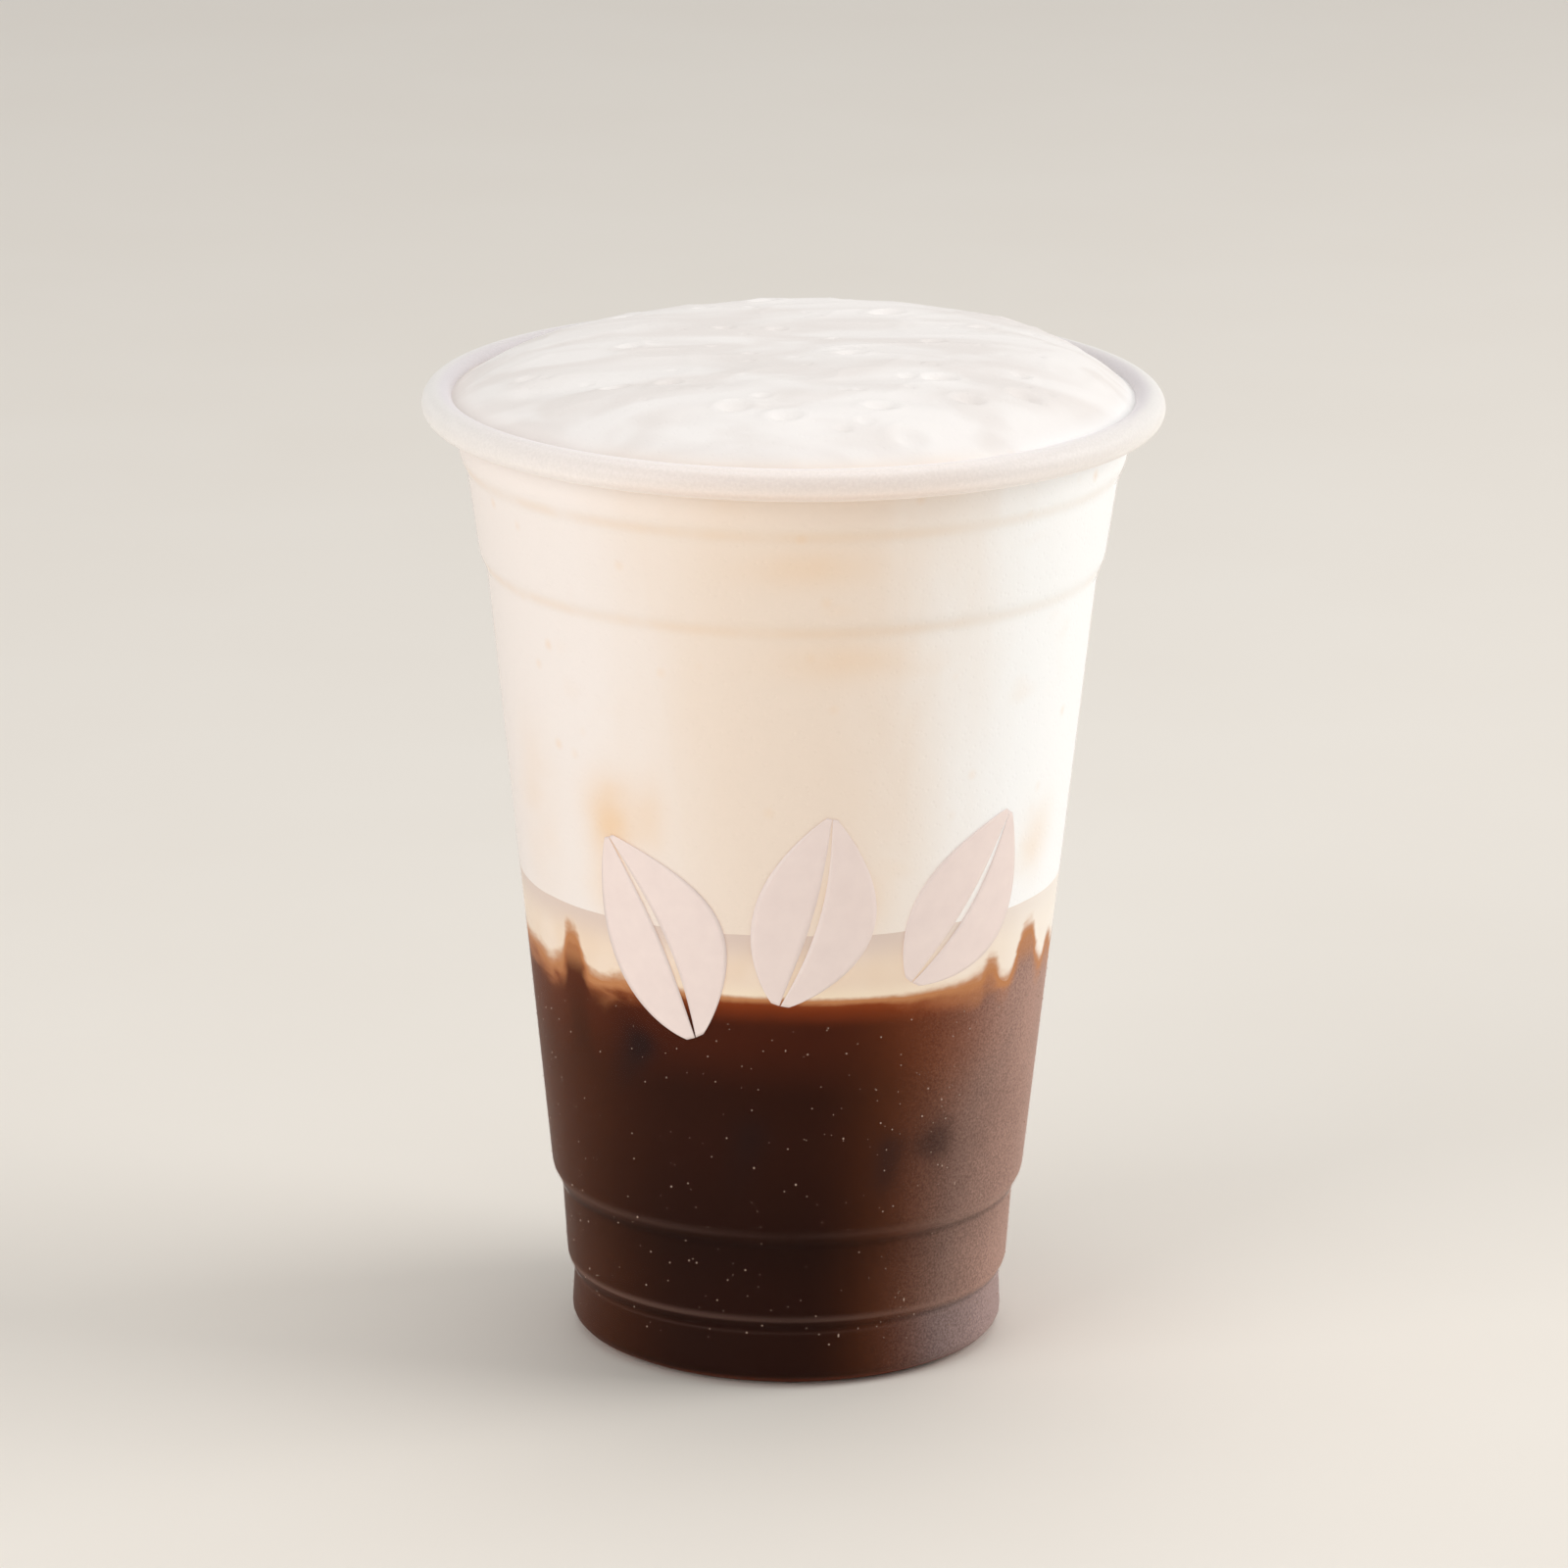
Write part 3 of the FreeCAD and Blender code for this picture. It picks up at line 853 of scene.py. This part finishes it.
def leafHalf(direction, height, length, half, lean, hand):
    # one side of a leaf: along it v from stalk to tip, across it u from the midrib to the edge, which is at
    # half * outline(v)
    columns = printForm["columns"]
    rows = printForm["rows"]
    u = np.linspace(0, 1, columns)[None, :]
    v = np.linspace(0.02, 0.98, rows)[:, None]
    outline = np.sin(math.pi * v ** 0.86) ** 0.85
    across = hand * (printForm["split"] * outline + u * (half - printForm["split"]) * outline)
    across = across + printForm["bend"] * np.sin(math.pi * v)
    along = (v - 0.5) * length + 0.6 * u * outline
    turned = math.radians(lean)
    right = (across * math.cos(turned) + along * math.sin(turned)) * mm
    up = (along * math.cos(turned) - across * math.sin(turned)) * mm + height * mm
    angle = math.radians(direction) + right / outsideRadius(height * mm)
    radii = outsideRadius(up) + printForm["clear"]
    points = np.stack([radii * np.sin(angle), -radii * np.cos(angle), up], axis=-1).reshape(-1, 3)
    here = np.arange(rows - 1)[:, None] * columns + np.arange(columns - 1)[None, :]
    quads = np.stack([here, here + 1, here + columns + 1, here + columns], axis=-1).reshape(-1, 4)
    return points, quads if hand > 0 else quads[:, ::-1]


def printPiece():
    # both halves of every leaf as thin film on the wall
    points = []
    quads = []
    for leaf in printForm["leaves"]:
        for hand in (1, -1):
            made, faces = leafHalf(*leaf, hand)
            quads.append(faces + sum(len(part) for part in points))
            points.append(made)
    piece = makeMesh("leaf_print", np.concatenate(points), np.concatenate(quads))
    film = piece.modifiers.new("film", "SOLIDIFY")
    film.thickness = printForm["film"]
    film.offset = 1
    piece.visible_shadow = False     # so thin that it casts none
    return piece


def printLook():
    # chalky ink, a little thinner in clouds
    finish = Finish("leaf_ink")
    cloud = finish.noise(finish.stretched(3, 3, 3), 3.0)
    r, g, b, one = printForm["ink"]
    finish.cover({"Base Color": finish.mixed((r, g, b, one), (r * 0.95, g * 0.94, b * 0.95, one), cloud),
                  "Roughness": 0.5 + cloud * 0.1, "Alpha": 0.93 - cloud * 0.08})
    return finish


# specks of water and bubbles on the wall over the coffee
beadForm = {
    "count": 760, "columns": 7, "rows": 4,
    "least": 0.06, "most": 0.145, "rarity": 2.5,        # mm, and how rare the large ones are
    "low": 4, "tall": 47,    # mm, the lowest one's height and the stretch of wall above it
    "crowdedShare": 0.15, "crowdedAt": 62, "crowdedSpread": 0.6,      # share, degrees, radians
    "stretchedShare": 0.012, "stretch": 2.3, "flatness": 0.45,
    "tone": tone(218, 192, 174),
}


def beadPiece():
    # flattened balls on the wall: turn, height and size drawn at random, denser towards +X; a few are long
    form = beadForm
    chance = np.random.default_rng(57)
    count = form["count"]
    angle = chance.uniform(0, 2 * math.pi, count)
    crowded = chance.uniform(0, 1, count) < form["crowdedShare"]
    crowd = chance.normal(math.radians(form["crowdedAt"]), form["crowdedSpread"], count)
    angle = np.where(crowded, crowd, angle)
    height = (form["low"] + chance.uniform(0, 1, count) * form["tall"]) * mm
    larger = chance.uniform(0, 1, count) ** form["rarity"]
    size = form["least"] + (form["most"] - form["least"]) * larger
    long = np.where(chance.uniform(0, 1, count) < form["stretchedShare"], form["stretch"], 1.0)
    ball, quads, fans = roundShape(form["columns"], form["rows"])
    out = np.stack([np.sin(angle), -np.cos(angle), np.zeros(count)], -1)
    side = np.stack([np.cos(angle), np.sin(angle), np.zeros(count)], -1)
    up = np.array([0, 0, 1.0])
    centre = out * outsideRadius(height)[:, None] + up * height[:, None]
    scaled = size[:, None, None] * mm
    shapes = centre[:, None, :] + scaled * (
        ball[None, :, :1] * side[:, None, :] - ball[None, :, 1:2] * form["flatness"] * out[:, None, :]
        + ball[None, :, 2:] * long[:, None, None] * up)
    return repeated("beads", shapes, quads, fans)


def beadLook():
    # bright wet specks that let some of the brown through
    finish = Finish("beads")
    shade = finish.noise(finish.stretched(2, 2, 2), 1.0)
    r, g, b, one = beadForm["tone"]
    finish.cover({"Base Color": finish.mixed((r, g, b, one), (r * 0.7, g * 0.6, b * 0.55, one), shade),
                  "Roughness": 0.2 + shade * 0.1, "IOR": 1.33, "Alpha": 0.48 + shade * 0.24})
    return finish


# floor, camera and lights
stageForm = {
    "radius": 4.0, "thickness": 0.02, "columns": 96,     # metres, metres, points round the floor
    "tone": tone(236, 230, 221), "behind": tone(222, 220, 216),
}
cameraForm = {               # metres, degrees and millimetres
    "distance": 1.0827, "height": 0.0729, "side": -0.00084, "pitch": 15.70, "roll": 0.46, "lens": 192.2,
}
lightForm = {
    # each box: direction in degrees from the front; height, distance from the axis and side in metres; watts
    "boxes": {"right_box": (91, 0.75, 1.25, 0.9, 11.2), "left_box": (-48, 0.55, 1.25, 0.9, 8.0),
              "top_box": (160, 1.5, 0.4, 1.0, 4.0)},
    "aim": 0.07,             # metres over the table
    "surround": 0.47,
}


def makeStage():
    # a wide flat disc with a faint mottle
    angle = around(stageForm["columns"])
    rings = np.array([0.02, 0.3, 1.0, 1.0])[:, None]
    radii = rings * stageForm["radius"] * np.ones_like(angle)
    heights = np.array([0, 0, 0, -stageForm["thickness"]])[:, None] * np.ones_like(angle)
    floor = turnedGrid("floor", radii[::-1], heights[::-1], {})
    finish = Finish("floor")
    mottle = finish.noise(finish.stretched(60, 60, 60), 2.0)
    r, g, b, one = stageForm["tone"]
    finish.cover({"Base Color": finish.mixed((r, g, b, one), (r * 0.97, g * 0.96, b * 0.95, one), mottle),
                  "Roughness": 0.7})
    floor.data.materials.append(finish.material)


def makeCamera():
    form = cameraForm
    pitch = math.radians(form["pitch"])
    data = bpy.data.cameras.new("view")
    data.lens = form["lens"]
    data.sensor_width = 36
    data.clip_start = 0.01
    camera = bpy.data.objects.new("view", data)
    back = Vector((0, -math.cos(pitch), math.sin(pitch))) * form["distance"]
    rolled = Matrix.Rotation(math.radians(form["roll"]), 4, "Z")
    turned = Matrix.Rotation(math.pi / 2 - pitch, 4, "X") @ rolled
    camera.matrix_world = Matrix.Translation(Vector((form["side"], 0, form["height"])) + back) @ turned
    bpy.context.scene.collection.objects.link(camera)
    bpy.context.scene.camera = camera


def makeLamp(name, direction, height, distance, size, power):
    angle = math.radians(direction)
    spot = Vector((math.sin(angle) * distance, -math.cos(angle) * distance, height))
    data = bpy.data.lights.new(name, "AREA")
    data.size = size
    data.energy = power
    lamp = bpy.data.objects.new(name, data)
    lamp.location = spot
    lamp.rotation_euler = (spot - Vector((0, 0, lightForm["aim"]))).to_track_quat("Z", "Y").to_euler()
    bpy.context.scene.collection.objects.link(lamp)


def makeLight():
    # a strong soft box on the right, a weaker one on the left, a top light, and an even pale surround
    for name, settings in lightForm["boxes"].items():
        makeLamp(name, *settings)
    world = bpy.data.worlds.new("surround")
    world.use_nodes = True
    world.node_tree.nodes.clear()
    sky = Tree(world.node_tree)
    seen = sky.node("ShaderNodeLightPath", output="Is Camera Ray")
    mirrored = sky.node("ShaderNodeLightPath", output="Is Glossy Ray")
    through = sky.node("ShaderNodeLightPath", output="Is Transmission Ray")
    soft = sky.node("ShaderNodeBackground", None, {"Color": (1, 1, 1, 1), "Strength": lightForm["surround"]})
    shown = sky.node("ShaderNodeBackground", None, {"Color": stageForm["behind"], "Strength": 1.0})
    direct = seen.atLeast(mirrored).atLeast(through)
    both = sky.node("ShaderNodeMixShader", None, {0: direct, 1: soft, 2: shown})
    sky.node("ShaderNodeOutputWorld", None, {"Surface": both})
    bpy.context.scene.world = world
    bpy.context.scene.view_settings.view_transform = "Standard"


makeStage()
makeCamera()
makeLight()
print("floor, camera and lights ready")

place(coffeePiece(), coffeeLook(), ["coffee"])
place(icePiece(), iceLook())
place(milkPiece(), milkLook(), ["milk"])
place(foamPiece(), foamLook(), ["foam"])
print("coffee, ice, milk and foam ready")

place(cupPiece(), cupLook(), ["cup"])
place(printPiece(), printLook())
place(beadPiece(), beadLook())
print("cup, print and beads ready")
